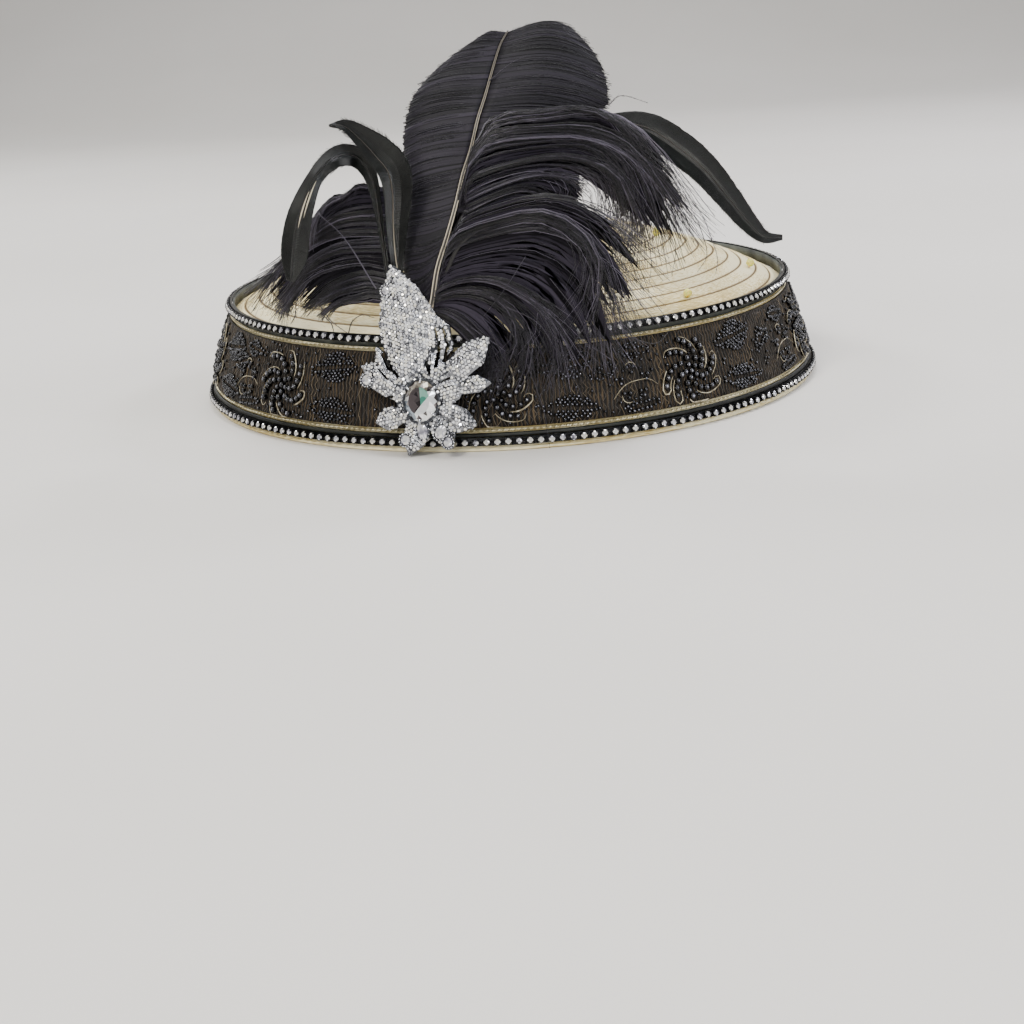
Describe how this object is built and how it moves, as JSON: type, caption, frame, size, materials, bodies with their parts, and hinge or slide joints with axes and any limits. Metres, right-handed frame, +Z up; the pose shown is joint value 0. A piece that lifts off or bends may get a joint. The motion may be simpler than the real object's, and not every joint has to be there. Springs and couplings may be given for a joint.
{
  "type": "fascinator hat",
  "caption": "Shallow braided straw hat with a beaded lace band between rhinestone trims, a large pave leaf brooch at the side front, ostrich plumes and curled coque feathers.",
  "frame": {"origin": "bottom centre of the whole hat's box, on the surface that the rim rests on, about 3 mm behind the axis of the round crown", "axes": "+Z up along the crown's axis, -Y out of the front, +X to the left of the wearer; the brooch is turned 16.5 degrees from the front towards -X"},
  "size_m": [0.3232, 0.3288, 0.1857],
  "materials": {
    "straw": "cream sewn straw braid, matte with a faint gloss",
    "lace": "bronze brown lace sewn with black glass seed beads and pale gold outlines",
    "satin": "dark green grey satin tape",
    "gold_cord": "twisted pale gold metallic cord",
    "stone_trim": "clear faceted rhinestones in dark metal cups",
    "silver": "bright rhodium plated metal set all over with small clear stones",
    "crystal": "clear cut crystal with a foil back",
    "ostrich": "soft black ostrich flues with a violet grey sheen on a pale edged quill",
    "coque": "glossy black cock feather with a green sheen",
    "pin_head": "yellow green translucent pin head"
  },
  "bodies": {
    "root": {"straw_crown": "straw", "lace_band": "lace", "satin_strip": "satin", "upper_tape": "satin", "lower_gold_cord": "gold_cord", "upper_gold_cord": "gold_cord", "lower_stone_trim": "stone_trim", "upper_stone_trim": "stone_trim", "brooch_setting": "silver", "brooch_pin": "silver", "brooch_centre_stone": "crystal", "brooch_stone_left_tip": "crystal", "brooch_stone_top_edge": "crystal", "brooch_stone_lower_left": "crystal", "brooch_stone_under_centre": "crystal", "brooch_stone_lower_right": "crystal", "brooch_stone_right_tip": "crystal", "plume_tall": "ostrich", "plume_right": "ostrich", "plume_lower": "ostrich", "plume_left": "ostrich", "coque_left_upper": "coque", "coque_left_loop": "coque", "coque_right": "coque", "pin_head_1": "pin_head", "pin_head_2": "pin_head", "pin_head_3": "pin_head"}
  },
  "joints": []
}
